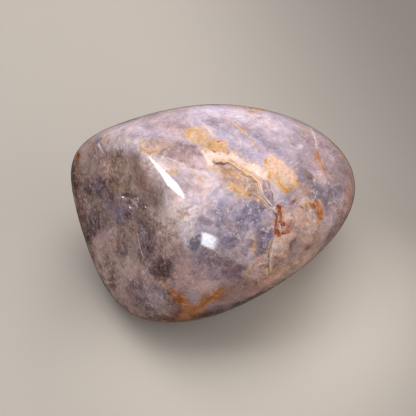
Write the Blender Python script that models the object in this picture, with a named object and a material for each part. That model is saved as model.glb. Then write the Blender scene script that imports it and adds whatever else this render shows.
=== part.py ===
# Blue rose quartz: one polished free-form stone, lying on its side.
# It is a rounded cobble that was ground back by broad soft facets, sawn across
# at its thick end and polished all over. A small flat underneath holds it still.
# Lengths are in millimetres until a mesh is finished, then in metres. +Z is up.
# +X is the long way of the stone, towards its narrow end.
# The origin lies on the resting flat, under the cobble's middle.

import math

import bmesh
import bpy
from mathutils import Matrix, Vector

MM = 0.001

# The cobble: half its length, width and height, and the height of its middle
COBBLE_HALF_AXES = (64.0, 42.0, 40.0)
MIDDLE_HEIGHT = 29.0

# Each soft facet faces an azimuth and an elevation, in degrees, and lies at a
# distance from the stone's middle. A higher crispness rounds the edges less.
FACET_CRISPNESS = 8.0
SOFT_FACETS = {
    "shoulder_behind_saw_cut": (171, -15, 43.5),
    "under_saw_cut": (-155, -25, 48.8),
    "front_underside": (-113, -40, 40.3),
    "right_underside": (-73, -34, 32.5),
    "nose_underside": (-48, -22, 40.4),
    "nose": (-14, 5, 53.0),
    "nose_top": (20, 29, 46.0),
    "back_top": (57, 39, 36.3),
    "back_shoulder": (93, 38, 35.6),
    "back_underside": (70, -20, 34.0),
    "front_flank": (-120, 8, 38.5),
    "crown": (-20, 80, 36.0),
    "underneath": (0, -90, 29.5),
}

# The sawn end, whose rim is tighter than the facets' edges, and its true flat
SAW_CUT_AZIMUTH = -165
SAW_CUT_ELEVATION = 19
SAW_CUT_DISTANCE = 29.8
RIM_CRISPNESS = 18.0
SAW_CUT_POLISHED_OFF = 0.12

# The mesh: triangles on the cobble, and the turn above which an edge is halved
SPHERE_SUBDIVISIONS = 5
RIM_TURN_DEGREES = 9.0

# Hollows left by the polish. Each has a place (azimuth, elevation), half its
# length, half its width and its depth, and the turn of its length round the
# surface's outward direction, measured from level.
HOLLOWS = {
    "pocket_in_saw_cut": (-179.0, 33.5, 2.2, 1.4, 0.9, 60),
    "pocket_neighbour": (-173.0, 31.5, 1.3, 0.9, 0.7, 20),
    "pocket_edge": (-169.0, 37.0, 1.6, 0.8, 0.6, 100),
    "chip_on_rim": (148.0, 35.5, 2.4, 1.0, 0.7, 15),
    "pit_on_flank": (-89.0, 14.0, 1.4, 1.0, 0.8, 40),
    "pit_on_back": (62.0, 12.0, 2.0, 1.2, 0.9, 70),
    "pit_on_back_neighbour": (66.0, 9.0, 1.1, 0.8, 0.6, 10),
}
HOLLOW_ROUGHNESS = 0.16

# A flake broken out of the crown. Its floor is deepest along the ledge, where the
# rim's places lie, and comes up to the polished surface along its foot.
FLAKE_RIM = [
    (-100, 69.5), (-94, 71), (-80, 70), (-75.5, 66.5), (-72, 60.5), (-68.5, 56), (-70, 53), (-72, 51),
]
FLAKE_FOOT = [(-76, 52), (-85, 52.5), (-90.5, 59), (-97, 65)]
FLAKE_DEPTH = 0.85
FLAKE_CLEARANCE = 4.0

# Open cracks: the places that each runs through, its half width, and how far
# its middle line is sunk
CRACKS = {
    "ledge_tail": {
        "route": [(-72, 52), (-71, 46.5), (-70, 43), (-70, 41)],
        "half_width": 0.3,
        "sunk": 0.0,
    },
    "crack_beside_ledge": {
        "route": [(-61.5, 53), (-63, 50), (-64.5, 48), (-67, 45.5), (-69, 43.5)],
        "half_width": 0.35,
        "sunk": 0.05,
    },
    "rusty_cleft": {
        "route": [(-68.5, 42.5), (-68.5, 40.5), (-70.5, 38.5), (-72.5, 36.5), (-75, 33.5)],
        "half_width": 0.6,
        "sunk": 0.2,
    },
    "flank_crack": {
        "route": [(-75, 34), (-78.5, 29.5), (-81, 25), (-82, 20), (-81.5, 14)],
        "half_width": 0.35,
        "sunk": 0.05,
    },
    "back_crack": {
        "route": [(30, 52), (40, 44), (47, 33), (49, 20), (55, 10)],
        "half_width": 0.4,
        "sunk": 0.05,
    },
}
CRACK_POINT_SPACING = 1.2
CRACK_END_WIDTH = 0.35

QUARTZ_COLOUR = (0.44, 0.38, 0.40, 1.0)
QUARTZ_ROUGHNESS = 0.15

SHARP_EDGE_DEGREES = 25
SLOPE_STEP = 0.02
WELD_DISTANCE = 0.00001


def clear_scene():
    for thing in list(bpy.data.objects):
        bpy.data.objects.remove(thing, do_unlink=True)


def new_collection(name):
    collection = bpy.data.collections.new(name)
    bpy.context.scene.collection.children.link(collection)
    return collection


def direction(azimuth, elevation):
    around = math.radians(azimuth)
    up = math.radians(elevation)
    return Vector((math.cos(around) * math.cos(up), math.sin(around) * math.cos(up), math.sin(up)))


FACET_PLANES = [
    (direction(azimuth, elevation), distance)
    for azimuth, elevation, distance in SOFT_FACETS.values()
]
SAW_CUT_NORMAL = direction(SAW_CUT_AZIMUTH, SAW_CUT_ELEVATION)


def reach(way):
    # How far the surface is from the stone's middle along a unit vector. Every
    # surface adds its share, and the nearest one outweighs the others.
    share = math.sqrt(sum((way[i] / COBBLE_HALF_AXES[i]) ** 2 for i in range(3))) ** FACET_CRISPNESS
    for normal, distance in FACET_PLANES:
        share += max(0.0, way.dot(normal) / distance) ** FACET_CRISPNESS
    ground = share ** (1.0 / FACET_CRISPNESS)
    sawn = max(0.0, way.dot(SAW_CUT_NORMAL) / SAW_CUT_DISTANCE)
    return (ground ** RIM_CRISPNESS + sawn ** RIM_CRISPNESS) ** (-1.0 / RIM_CRISPNESS)


def surface_point(way):
    return way * reach(way) + Vector((0, 0, MIDDLE_HEIGHT))


def outward(way):
    # The surface's normal, from how its reach changes a little to either side
    level = Vector((0, 0, 1)).cross(way).normalized()
    upright = way.cross(level)
    here = way * reach(way)
    beside = (way + level * SLOPE_STEP).normalized()
    above = (way + upright * SLOPE_STEP).normalized()
    return (beside * reach(beside) - here).cross(above * reach(above) - here).normalized()


def quartz_material():
    material = bpy.data.materials.new("blue_rose_quartz")
    material.use_nodes = True
    shader = material.node_tree.nodes["Principled BSDF"]
    shader.inputs["Base Color"].default_value = QUARTZ_COLOUR
    shader.inputs["Roughness"].default_value = QUARTZ_ROUGHNESS
    shader.inputs["Metallic"].default_value = 0.0
    material.diffuse_color = QUARTZ_COLOUR
    return material


def wrap_on_stone(mesh):
    for vertex in mesh.verts:
        vertex.co = surface_point(vertex.co.normalized())


def back_to_sphere(mesh):
    for vertex in mesh.verts:
        vertex.co = (vertex.co - Vector((0, 0, MIDDLE_HEIGHT))).normalized()


def halve_tight_edges(mesh):
    # The rim and the facets' edges turn fast, so they get shorter triangles
    mesh.normal_update()
    limit = math.cos(math.radians(RIM_TURN_DEGREES))
    tight = [edge for edge in mesh.edges if edge.verts[0].normal.dot(edge.verts[1].normal) < limit]
    bmesh.ops.subdivide_edges(mesh, edges=tight, cuts=1)
    bmesh.ops.triangulate(mesh, faces=mesh.faces[:])
    back_to_sphere(mesh)
    wrap_on_stone(mesh)


def cut_flat(mesh, point, normal):
    # Take off what lies outside a plane and close the cut with one flat face
    everything = mesh.verts[:] + mesh.edges[:] + mesh.faces[:]
    bmesh.ops.bisect_plane(mesh, geom=everything, plane_co=point, plane_no=normal, clear_outer=True)
    rim = [edge for edge in mesh.edges if edge.is_boundary]
    bmesh.ops.holes_fill(mesh, edges=rim)


def finish_mesh(mesh, name):
    bmesh.ops.scale(mesh, vec=Vector((MM, MM, MM)), verts=mesh.verts)
    bmesh.ops.recalc_face_normals(mesh, faces=mesh.faces[:])
    data = bpy.data.meshes.new(name)
    mesh.to_mesh(data)
    mesh.free()
    return data


def stone_body(collection):
    mesh = bmesh.new()
    bmesh.ops.create_icosphere(mesh, subdivisions=SPHERE_SUBDIVISIONS, radius=1.0)
    wrap_on_stone(mesh)
    halve_tight_edges(mesh)
    cut_flat(mesh, Vector((0, 0, 0)), Vector((0, 0, -1)))
    saw_face = SAW_CUT_NORMAL * (SAW_CUT_DISTANCE - SAW_CUT_POLISHED_OFF) + Vector((0, 0, MIDDLE_HEIGHT))
    cut_flat(mesh, saw_face, SAW_CUT_NORMAL)
    bmesh.ops.triangulate(mesh, faces=mesh.faces[:])
    body = bpy.data.objects.new("quartz_stone", finish_mesh(mesh, "quartz_stone"))
    body.data.materials.append(quartz_material())
    body.data.shade_smooth()
    body.data.set_sharp_from_angle(angle=math.radians(SHARP_EDGE_DEGREES))
    collection.objects.link(body)
    return body


def make_cutter(cutter, collection):
    cutter.hide_render = True
    cutter.display_type = "WIRE"
    collection.objects.link(cutter)
    return cutter


def hollow_cutter(name, azimuth, elevation, half_length, half_width, depth, turn, collection):
    # A lumpy flattened ball, let into the surface so that it cuts to its depth
    mesh = bmesh.new()
    bmesh.ops.create_icosphere(mesh, subdivisions=3, radius=1.0)
    for vertex in mesh.verts:
        x, y, z = vertex.co
        lump = math.sin(3.1 * x + 1.7 * azimuth) * math.sin(2.7 * y + elevation) * math.cos(3.3 * z + turn)
        vertex.co *= 1.0 + HOLLOW_ROUGHNESS * lump
    bmesh.ops.scale(mesh, vec=Vector((half_length, half_width, 2.0 * depth)), verts=mesh.verts)
    way = direction(azimuth, elevation)
    out = outward(way)
    level = Vector((0, 0, 1)).cross(out).normalized()
    across = out.cross(level)
    frame = Matrix((level, across, out)).transposed().to_4x4()
    turned = frame @ Matrix.Rotation(math.radians(turn), 4, "Z")
    placed = Matrix.Translation(surface_point(way) + out * depth) @ turned
    bmesh.ops.transform(mesh, matrix=placed, verts=mesh.verts)
    return make_cutter(bpy.data.objects.new(name, finish_mesh(mesh, name)), collection)


def flake_cutter(name, collection):
    # The floor is one face through the rim and the foot, drawn out past the surface
    mesh = bmesh.new()
    outline = []
    for azimuth, elevation in FLAKE_RIM:
        way = direction(azimuth, elevation)
        outline.append(surface_point(way) - outward(way) * FLAKE_DEPTH)
    for azimuth, elevation in FLAKE_FOOT:
        outline.append(surface_point(direction(azimuth, elevation)))
    floor = mesh.faces.new([mesh.verts.new(point) for point in outline])
    floor.normal_update()
    out = outward(direction(*FLAKE_FOOT[0]))
    raised = bmesh.ops.extrude_face_region(mesh, geom=[floor])["geom"]
    corners = [item for item in raised if isinstance(item, bmesh.types.BMVert)]
    bmesh.ops.translate(mesh, vec=out * FLAKE_CLEARANCE, verts=corners)
    bmesh.ops.triangulate(mesh, faces=mesh.faces[:])
    return make_cutter(bpy.data.objects.new(name, finish_mesh(mesh, name)), collection)


def route_points(route, sunk):
    # Points at even steps along the great arcs between the route's places
    points = []
    for start, end in zip(route, route[1:]):
        first = direction(*start)
        last = direction(*end)
        run = (surface_point(last) - surface_point(first)).length
        steps = max(1, round(run / CRACK_POINT_SPACING))
        for step in range(steps):
            way = first.slerp(last, step / steps)
            points.append(surface_point(way) - outward(way) * sunk)
    way = direction(*route[-1])
    points.append(surface_point(way) - outward(way) * sunk)
    return points


def crack_cutter(name, route, half_width, sunk, collection):
    # A thin tube along the route, thinner towards its two ends
    points = route_points(route, sunk)
    curve = bpy.data.curves.new(name, "CURVE")
    curve.dimensions = "3D"
    curve.bevel_depth = half_width * MM
    curve.bevel_resolution = 1
    curve.use_fill_caps = True
    spline = curve.splines.new("POLY")
    spline.points.add(len(points) - 1)
    for number, point in enumerate(points):
        spline.points[number].co = (*(point * MM), 1.0)
        along = number / (len(points) - 1)
        fullness = math.sin(math.pi * along) ** 0.5
        spline.points[number].radius = CRACK_END_WIDTH + (1 - CRACK_END_WIDTH) * fullness
    tube = bpy.data.objects.new(name + "_line", curve)
    collection.objects.link(tube)
    bpy.context.view_layer.update()
    evaluated = tube.evaluated_get(bpy.context.evaluated_depsgraph_get())
    data = bpy.data.meshes.new_from_object(evaluated)
    mesh = bmesh.new()
    mesh.from_mesh(data)
    bmesh.ops.remove_doubles(mesh, verts=mesh.verts, dist=WELD_DISTANCE)
    bmesh.ops.recalc_face_normals(mesh, faces=mesh.faces[:])
    mesh.to_mesh(data)
    mesh.free()
    cutter = bpy.data.objects.new(name, data)
    cutter.matrix_world = tube.matrix_world
    bpy.data.objects.remove(tube, do_unlink=True)
    return make_cutter(cutter, collection)


def cut_away(body, cutter):
    cut = body.modifiers.new(cutter.name, "BOOLEAN")
    cut.operation = "DIFFERENCE"
    cut.solver = "EXACT"
    cut.object = cutter


def main():
    clear_scene()
    parts = new_collection("blue_rose_quartz")
    cutters = new_collection("cutters")
    body = stone_body(parts)
    for name, values in HOLLOWS.items():
        cut_away(body, hollow_cutter(name, *values, cutters))
    cut_away(body, flake_cutter("flake_under_ledge", cutters))
    for name, crack in CRACKS.items():
        cut_away(body, crack_cutter(name, crack["route"], crack["half_width"], crack["sunk"], cutters))


main()
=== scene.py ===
import math
import random
import bmesh
import bpy
import numpy as np
from mathutils import Matrix, Quaternion, Vector, noise
from mathutils.bvhtree import BVHTree


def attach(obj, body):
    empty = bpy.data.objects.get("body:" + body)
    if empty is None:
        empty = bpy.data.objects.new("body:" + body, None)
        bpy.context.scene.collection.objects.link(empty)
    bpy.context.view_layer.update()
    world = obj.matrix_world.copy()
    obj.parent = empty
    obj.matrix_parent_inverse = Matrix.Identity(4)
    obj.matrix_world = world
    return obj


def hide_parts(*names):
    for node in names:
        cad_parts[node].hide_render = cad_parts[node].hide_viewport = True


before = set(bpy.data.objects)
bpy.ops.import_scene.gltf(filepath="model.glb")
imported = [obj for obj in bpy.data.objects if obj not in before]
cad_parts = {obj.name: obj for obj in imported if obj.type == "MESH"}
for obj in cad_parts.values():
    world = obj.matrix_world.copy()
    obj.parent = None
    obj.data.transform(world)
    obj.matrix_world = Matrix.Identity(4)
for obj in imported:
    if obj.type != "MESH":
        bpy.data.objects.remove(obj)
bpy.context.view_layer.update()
mm = 0.001
noise.seed_set(8)  # without a seed, noise_vector differs from run to run

# the photograph's view: turned and raised round the stone, in degrees, and the lens in mm
viewOfPhoto = {"azimuth": -20, "elevation": 50, "lens": 85, "sensor": 36, "distance": 0.314,
               "aim": (0.0005, 0.0, 0.0293), "pixels": 416}


def cameraAxes():
    around = math.radians(viewOfPhoto["azimuth"])
    raised = math.radians(viewOfPhoto["elevation"])
    right = Vector((math.cos(around), math.sin(around), 0))
    back = Vector((math.sin(around) * math.cos(raised), -math.cos(around) * math.cos(raised),
                   math.sin(raised)))
    return right, back.cross(right), back


def outwards(azimuth, elevation):
    # the way from the stone's middle towards a bearing in degrees
    around, raised = math.radians(azimuth), math.radians(elevation)
    return Vector((math.cos(around) * math.cos(raised), math.sin(around) * math.cos(raised),
                   math.sin(raised)))


def placeCamera():
    right, up, back = cameraAxes()
    data = bpy.data.cameras.new("photoCamera")
    data.lens = viewOfPhoto["lens"]
    data.sensor_width = viewOfPhoto["sensor"]
    data.clip_start = 0.01
    camera = bpy.data.objects.new("photoCamera", data)
    place = Matrix.Translation(Vector(viewOfPhoto["aim"]) + back * viewOfPhoto["distance"])
    camera.matrix_world = place @ Matrix((right, up, back)).transposed().to_4x4()
    bpy.context.scene.collection.objects.link(camera)
    bpy.context.scene.camera = camera


def deselectAll():
    if bpy.context.object and bpy.context.object.mode != "OBJECT":
        bpy.ops.object.mode_set(mode="OBJECT")
    bpy.ops.object.select_all(action="DESELECT")


def makeActive(thing):
    deselectAll()
    thing.select_set(True)
    bpy.context.view_layer.objects.active = thing


def applyModifier(thing, kind, **settings):
    modifier = thing.modifiers.new(kind.lower(), kind)
    for name, value in settings.items():
        setattr(modifier, name, value)
    makeActive(thing)
    bpy.ops.object.modifier_apply(modifier=modifier.name)


stoneSkin = {
    "middle": (0, 0, 0.029), "startSize": 0.2, "cuts": (9, 9), "rounding": 2, "smoothing": 12,
    "merge": 0.00001,
    "fineReach": (2.6, 1.0),  # mm on either side of a crack or ledge where the mesh is made finer
    "curveStep": 1.2,  # pixels between the points that a drawn curve is laid out on
    "farOff": 9.0,  # mm, further than any drawn mark fades
}


def hullOfStone():
    # the solid without its pits and cracks, its facets rounded over
    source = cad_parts["quartz_stone"]
    hull = source.copy()
    hull.data = source.data.copy()
    hull.name = "hullGuide"
    hull.parent = None
    hull.matrix_world = source.matrix_world
    bpy.context.scene.collection.objects.link(hull)
    makeActive(hull)
    bpy.ops.object.mode_set(mode="EDIT")
    bpy.ops.mesh.select_all(action="SELECT")
    bpy.ops.mesh.remove_doubles(threshold=stoneSkin["merge"])
    bpy.ops.mesh.select_all(action="SELECT")
    bpy.ops.mesh.convex_hull()
    bpy.ops.object.mode_set(mode="OBJECT")
    applyModifier(hull, "SUBSURF", levels=stoneSkin["rounding"], render_levels=stoneSkin["rounding"])
    return hull


def makeSkin():
    hull = hullOfStone()
    deselectAll()
    bpy.ops.mesh.primitive_cube_add(size=stoneSkin["startSize"], location=stoneSkin["middle"])
    skin = bpy.context.object
    skin.name = "polishedQuartz"
    skin.data.name = "polishedQuartz"
    bpy.ops.object.mode_set(mode="EDIT")
    bpy.ops.mesh.select_all(action="SELECT")
    for cuts in stoneSkin["cuts"]:
        bpy.ops.mesh.subdivide(number_cuts=cuts)
    bpy.ops.object.mode_set(mode="OBJECT")
    applyModifier(skin, "CAST", cast_type="SPHERE", factor=1.0)
    applyModifier(skin, "SHRINKWRAP", target=hull, wrap_method="PROJECT", use_negative_direction=True,
                  use_positive_direction=False)
    applyModifier(skin, "SMOOTH", factor=0.5, iterations=stoneSkin["smoothing"])
    makeActive(skin)
    bpy.ops.object.transform_apply(location=True, rotation=True, scale=True)
    bpy.ops.object.shade_smooth()
    bpy.data.objects.remove(hull, do_unlink=True)
    print("skin", len(skin.data.polygons), "faces")
    return skin


class StoneTracer:
    # finds the stone's surface under a pixel of the photograph, or in a direction from its middle
    def __init__(self, skin):
        self.tree = BVHTree.FromObject(skin, bpy.context.evaluated_depsgraph_get())
        self.right, self.up, self.back = cameraAxes()
        self.eye = Vector(viewOfPhoto["aim"]) + self.back * viewOfPhoto["distance"]
        self.focal = viewOfPhoto["lens"] / viewOfPhoto["sensor"] * viewOfPhoto["pixels"]
        self.half = viewOfPhoto["pixels"] / 2 - 0.5
        self.middle = Vector(stoneSkin["middle"])

    def atPixel(self, x, y):
        # a pixel just off the outline moves towards the middle, by this share, until it meets the stone
        inwards = 0.01
        place = None
        while place is None:
            across, down = (x - self.half) / self.focal, (y - self.half) / self.focal
            ray = (self.right * across - self.up * down - self.back).normalized()
            place = self.tree.ray_cast(self.eye, ray)[0]
            x += (self.half - x) * inwards
            y += (self.half - y) * inwards
        return place

    def atBearing(self, azimuth, elevation):
        away = outwards(azimuth, elevation)
        return self.tree.ray_cast(self.middle + away * stoneSkin["startSize"], -away)[0]

    def place(self, spot, seen):
        return self.atPixel(*spot) if seen else self.atBearing(*spot)

    def axes(self, place, seen):
        # to the right, down and outwards: in the photograph, or on the stone's own side
        if seen:
            return np.array((self.right, -self.up, self.back))
        normal = self.tree.find_nearest(place)[1]
        level = Vector((0, 0, 1)).cross(normal).normalized()
        return np.array((level, level.cross(normal), normal))

    def curve(self, points, seen=True, closed=False):
        # a smooth curve through the points, laid on the stone, in mm
        points = list(points)
        ends = [points[-1]] + points + points[:2] if closed else [points[0]] + points + [points[-1]]
        pixelStep = stoneSkin["curveStep"] if seen else stoneSkin["curveStep"] / 2
        spots = []
        for before, start, end, after in zip(ends, ends[1:], ends[2:], ends[3:]):
            count = max(2, round(math.dist(start, end) / pixelStep))
            for t in np.arange(count) / count:
                spots.append([0.5 * (2 * q + (r - p) * t + (2 * p - 5 * q + 4 * r - o) * t ** 2
                                     + (3 * q - 3 * r + o - p) * t ** 3)
                              for p, q, r, o in zip(before, start, end, after)])
        if not closed:
            spots.append(points[-1])
        return np.array([tuple(self.place(spot, seen)) for spot in spots]) / mm, np.array(spots)

    def toPixels(self, places):
        gap = places * mm - np.array(self.eye)
        depth = -(gap @ np.array(self.back))
        return np.stack(((gap @ np.array(self.right)) / depth, -(gap @ np.array(self.up)) / depth),
                        1) * self.focal + self.half


def nearLine(places, line, reach):
    # which places lie in the box round a line, widened by the reach
    return np.flatnonzero(((places > line.min(0) - reach) & (places < line.max(0) + reach)).all(1))


class StoneFields:
    # numbers at every corner of the mesh, in mm: how far it lies from what is drawn on the stone
    def __init__(self, skin, tracer):
        self.skin, self.tracer = skin, tracer
        count = len(skin.data.vertices)
        self.places = np.empty(count * 3, dtype=np.float32)
        self.normals = np.empty(count * 3, dtype=np.float32)
        skin.data.vertices.foreach_get("co", self.places)
        skin.data.vertices.foreach_get("normal", self.normals)
        self.places = self.places.reshape(-1, 3).astype(float) / mm
        self.normals = self.normals.reshape(-1, 3).astype(float)
        grazing = -0.05  # corners that turn away from the photograph by no more than this still count
        self.facing = self.normals @ np.array(tracer.back) > grazing

    def count(self):
        return len(self.places)

    def roughen(self, waves):
        # shifts the places a little, so that what is drawn gets an uneven outline
        shift = np.zeros_like(self.places)
        for size, amount in waves:
            shift += amount * np.array([noise.noise_vector(Vector(place) / size) for place in self.places])
        self.places = self.places + shift

    def alongCurve(self, line, reach):
        # corners near a line: which, how far off, to which side, how far along, and the line's length
        near = nearLine(self.places, line, reach)
        run = np.diff(line, axis=0)
        length = np.linalg.norm(run, axis=1) + 1e-6
        gap = self.places[near][:, None] - line[None, :-1]
        share = np.clip((gap * run).sum(2) / length ** 2, 0, 1)
        gap -= share[..., None] * run
        distance = np.linalg.norm(gap, axis=2)
        rows, best = np.arange(len(near)), distance.argmin(1)
        distance = distance[rows, best]
        side = np.sign((gap[rows, best] * np.cross(run[best], self.normals[near])).sum(1))
        travelled = np.concatenate(([0], np.cumsum(length)))[best] + share[rows, best] * length[best]
        keep = distance < reach
        return near[keep], distance[keep], (side * distance)[keep], travelled[keep], length.sum()

    def insideOutline(self, spots):
        # which corners lie inside a closed outline, as the photograph shows it
        x, y = self.tracer.toPixels(self.places).T
        inside = np.zeros(self.count(), bool)
        for (x0, y0), (x1, y1) in zip(spots, np.roll(spots, -1, axis=0)):
            if y0 != y1:
                crosses = (y0 > y) != (y1 > y)
                inside ^= crosses & (x < (x1 - x0) * (y - y0) / (y1 - y0) + x0)
        return inside & self.facing

    def depthInArea(self, points):
        # mm inside (above 0) or outside (below 0) a closed outline
        line, spots = self.tracer.curve(points, closed=True)
        farOff = stoneSkin["farOff"]
        depth = np.where(self.insideOutline(spots), farOff, -farOff)
        near, distance = self.alongCurve(np.concatenate((line, line[:1])), farOff)[:2]
        depth[near] = np.where(depth[near] > 0, distance, -distance)
        return depth

    def depthInSpot(self, spot, size, turn, seen):
        # mm inside or outside an oval
        place = self.tracer.place(spot, seen)
        right, down, out = self.tracer.axes(place, seen)
        around = math.radians(turn)
        long = right * math.cos(around) + down * math.sin(around)
        wide = down * math.cos(around) - right * math.sin(around)
        gap = self.places - np.array(place) / mm
        thick = 2.5 * max(size) + 2  # deep enough to take in the curve of the stone
        reach = np.sqrt((gap @ long / size[0]) ** 2 + (gap @ wide / size[1]) ** 2 + (gap @ out / thick) ** 2)
        return (1 - reach) * min(size)

    def depthInBand(self, points, halfWidth):
        fringe = 4  # mm beyond the band in which it can still fade
        depth = np.full(self.count(), -stoneSkin["farOff"])
        near, distance = self.alongCurve(self.tracer.curve(points)[0], halfWidth + fringe)[:2]
        depth[near] = halfWidth - distance
        return depth

    def keep(self, name, values):
        kind, key = ("FLOAT", "value") if values.ndim == 1 else ("FLOAT_VECTOR", "vector")
        attribute = self.skin.data.attributes.new(name, kind, "POINT")
        attribute.data.foreach_set(key, values.astype(np.float32).ravel())


# Spots, bands and areas below are drawn on the photograph's view of the stone: places in pixels,
# sizes in mm. "edge" is how gradually a mark fades, in mm, and "full" how strong it gets, 0 to 1.
palette = {
    "rosyGrey": (184, 166, 172), "sawnBrown": (173, 151, 146), "topPink": (202, 184, 195),
    "paleLilac": (202, 190, 209), "lilac": (172, 160, 174), "pinkWhite": (202, 184, 191),
    "paleWhiteAndSheen": (246, 230, 234), "mauve": (152, 132, 138), "duskyPink": (200, 170, 173),
    "duskyBrown": (158, 120, 109), "tanPink": (195, 161, 142), "warmTan": (198, 164, 145),
    "frontBlue": (165, 155, 171), "slateBlue": (136, 124, 142), "coolGrey": (114, 102, 104),
    "paleTan": (226, 198, 190), "brownRim": (166, 134, 126), "plumGrey": (129, 105, 110),
    # the first two tones on this line are painted shade for the stone's edges
    "shadeBrown": (112, 82, 74), "edgeShadeBrown": (62, 36, 30), "honey": (202, 168, 136),
    "amberBrownAndEdgeShade": (122, 68, 42),
}

washes = [  # broad soft tints: colour, place, half sizes, turn, strength
    ("topPink", (237, 112), (16, 4), 5, 0.9), ("paleLilac", (208, 114), (9, 3), -5, 0.8),
    ("lilac", (217, 123), (4, 2), 10, 0.7), ("topPink", (262, 119), (7, 3.5), 15, 0.8),
    ("lilac", (286, 132), (9, 4), 35, 0.7), ("slateBlue", (284, 160), (11, 4), 42, 0.5),
    ("lilac", (243, 142), (11, 6), 25, 0.85),
    ("lilac", (300, 148), (6, 4), 40, 0.7), ("mauve", (162, 131), (13, 4.5), -8, 0.35),
    ("paleLilac", (112, 137), (7, 3.5), -25, 0.8), ("mauve", (184, 152), (7, 3), 8, 0.7),
    ("pinkWhite", (198, 183), (9, 5), 20, 0.9), ("pinkWhite", (192, 201), (6, 3.5), 0, 0.6),
    # both washes here lighten the rim below the highlight, partly as painted sheen
    ("paleWhiteAndSheen", (187, 217), (5, 6), -10, 0.8), ("paleTan", (181, 243), (3.5, 8), -5, 0.9),
    ("honey", (160, 147), (6, 2), 5, 0.4), ("paleWhiteAndSheen", (232, 204), (7, 2.5), 15, 0.4),
    ("frontBlue", (240, 216), (13, 7), 10, 0.9), ("frontBlue", (213, 238), (9, 6), 10, 0.8),
    ("slateBlue", (256, 214), (4, 5), 20, 0.6), ("coolGrey", (266, 237), (3, 5), 10, 0.7),
    ("slateBlue", (226, 226), (6, 4), 10, 0.5), ("paleLilac", (206, 228), (5, 3), -15, 0.7),
    ("duskyPink", (198, 270), (7, 8), 0, 0.9), ("mauve", (218, 258), (8, 3.5), 10, 0.6),
    ("duskyBrown", (240, 290), (15, 4), -22, 0.8), ("mauve", (222, 275), (6, 3), 10, 0.4),
    ("tanPink", (255, 266), (3, 5), 20, 0.4), ("mauve", (318, 150), (8, 9), 50, 0.8),
    ("mauve", (338, 168), (6, 10), 20, 0.85), ("coolGrey", (338, 172), (4, 8), 15, 0.45),
    ("coolGrey", (304, 180), (6.5, 3.5), 45, 0.95),
    ("coolGrey", (323, 204), (4.5, 4), 0, 0.9), ("plumGrey", (288, 224), (4.5, 5), 0, 0.7),
    ("honey", (288, 252), (8, 6), -50, 0.7), ("duskyBrown", (326, 236), (8, 8), -35, 0.6),
    ("duskyBrown", (350, 200), (4, 11), 10, 0.8), ("tanPink", (290, 250), (10, 9), -30, 0.6),
    ("warmTan", (274, 260), (4, 8), 0, 0.8),
    ("tanPink", (296, 268), (14, 4), -34, 0.8), ("tanPink", (305, 226), (7, 6), -20, 0.7),
    # the next washes: painted edge shade along the bottom outline, and amber stain in the V above it
    ("shadeBrown", (225, 312), (16, 3), -18, 0.8),
    ("amberBrownAndEdgeShade", (186, 316), (9, 3.5), -5, 0.95), ("amberBrownAndEdgeShade", (176, 297), (5, 3.5), 50, 0.7),
    ("amberBrownAndEdgeShade", (207, 301), (6, 1.6), -36, 0.9),
    ("paleTan", (325, 222), (2.5, 2), 0, 0.5), ("mauve", (296, 243), (2.5, 3.5), 30, 0.5),
    # the sawn face
    ("tanPink", (130, 171), (10, 5), 20, 0.4), ("mauve", (95, 160), (5, 4), -20, 0.2),
    ("brownRim", (148, 190), (6, 4), 55, 0.8), ("plumGrey", (97, 187), (5, 4.5), 0, 0.95),
    ("plumGrey", (119, 209), (8, 4.5), 25, 0.9), ("slateBlue", (120, 213), (4, 3), 30, 0.6),
    ("plumGrey", (143, 203), (4, 3), 0, 0.5), ("plumGrey", (92, 225), (4.5, 4.5), -10, 0.85),
    # the first wash here lightens the rim's inner side, partly as painted sheen
    ("paleWhiteAndSheen", (169, 211), (3, 8), -15, 0.5), ("paleTan", (152, 213), (5, 2), 30, 0.4),
    ("mauve", (106, 227), (3.5, 4), 0, 0.4), ("mauve", (110, 244), (4, 3.5), 0, 0.3),
    ("plumGrey", (147, 240), (5, 6.5), -5, 0.7), ("paleTan", (163, 232), (4, 3), 30, 0.25),
    ("plumGrey", (116, 256), (3, 3), 0, 0.5), ("paleTan", (122, 270), (4, 5), -20, 0.6),
    # the first wash here lightens the rim, partly as painted sheen
    ("paleTan", (176, 238), (3, 10), -8, 0.8), ("duskyPink", (176, 268), (3.5, 8), 0, 0.7),
    # both washes here darken the left outline: painted edge shade
    ("shadeBrown", (74, 185), (3.5, 14), 0, 0.7), ("amberBrownAndEdgeShade", (79, 212), (2, 10), -10, 0.55),
    ("plumGrey", (136, 292), (8, 5), 35, 0.8),
    ("paleLilac", (153, 298), (4, 3.5), 0, 0.35), ("brownRim", (90, 250), (3, 12), -25, 0.6),
    ("paleTan", (110, 284), (3, 10), -35, 0.35),
    # the rim round it: paler in its own tone, and partly a painted sheen along the rounded edge
    ("paleWhiteAndSheen", (121, 143), (7, 2.4), 12, 0.7), ("paleWhiteAndSheen", (146, 153), (6, 2.5), 45, 0.6),
    ("paleWhiteAndSheen", (156, 170), (6, 3.2), 55, 0.9), ("pinkWhite", (164, 184), (6, 3), 65, 0.8),
    ("paleWhiteAndSheen", (176, 202), (6, 3), 68, 0.9), ("paleWhiteAndSheen", (187, 231), (7, 3.2), 75, 0.8),
    # painted shade along the edges that turn under
    ("edgeShadeBrown", (72, 186), (1.6, 12), 0, 0.6), ("edgeShadeBrown", (84, 240), (1.6, 12), -18, 0.5),
    ("edgeShadeBrown", (160, 325), (12, 2), -4, 0.6),
    ("edgeShadeBrown", (214, 319), (14, 2.4), -14, 0.9), ("edgeShadeBrown", (256, 300), (12, 1.8), -27, 0.8),
]

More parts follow.
